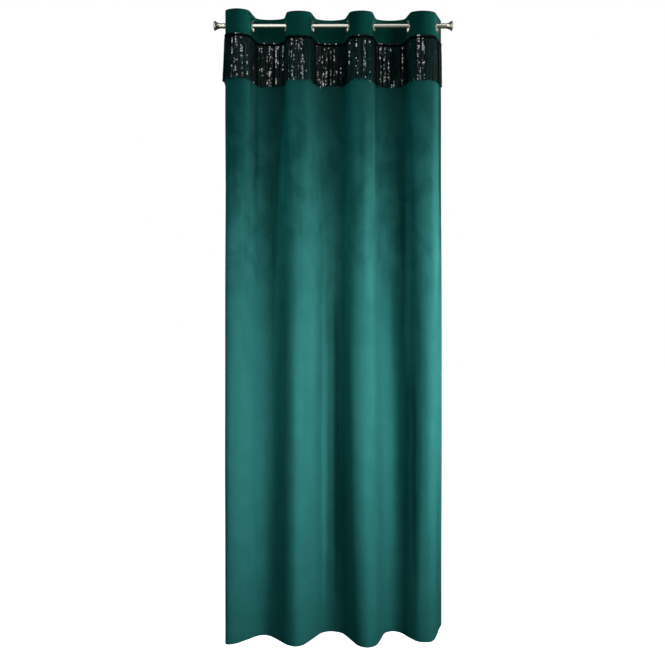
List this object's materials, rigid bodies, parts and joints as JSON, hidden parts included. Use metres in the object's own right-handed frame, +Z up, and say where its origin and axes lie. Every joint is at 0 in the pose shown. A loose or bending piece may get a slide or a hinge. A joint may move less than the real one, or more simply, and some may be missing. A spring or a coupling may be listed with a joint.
{
  "type": "eyelet curtain and curtain rod",
  "caption": "Gathered velvet eyelet curtain with a sequin fringe under its heading, hanging in soft folds from a metal rod with trumpet finials.",
  "frame": {"origin": "on the rod's axis, halfway along the rod", "axes": "+X along the rod to the right as seen from the room, +Y away from the room towards the wall, +Z up"},
  "size_m": [0.9596, 0.2165, 2.5],
  "materials": {
    "velvet": "short-pile velvet in deep bottle green, with a pale teal sheen where the pile catches the light and near-black in the folds",
    "sequins": "black glossy round sequins, overlapping on strings, under a black tape",
    "eyelet_metal": "pressed metal ring, satin nickel",
    "rod_metal": "satin nickel with a slightly warm tone"
  },
  "bodies": {
    "root": {"velvet_panel": "velvet", "sequin_fringe": "sequins", "eyelet_1": "eyelet_metal", "eyelet_2": "eyelet_metal", "eyelet_3": "eyelet_metal", "eyelet_4": "eyelet_metal", "eyelet_5": "eyelet_metal", "eyelet_6": "eyelet_metal", "eyelet_7": "eyelet_metal", "eyelet_8": "eyelet_metal", "rod": "rod_metal", "finial_left": "rod_metal", "finial_right": "rod_metal"}
  },
  "joints": []
}
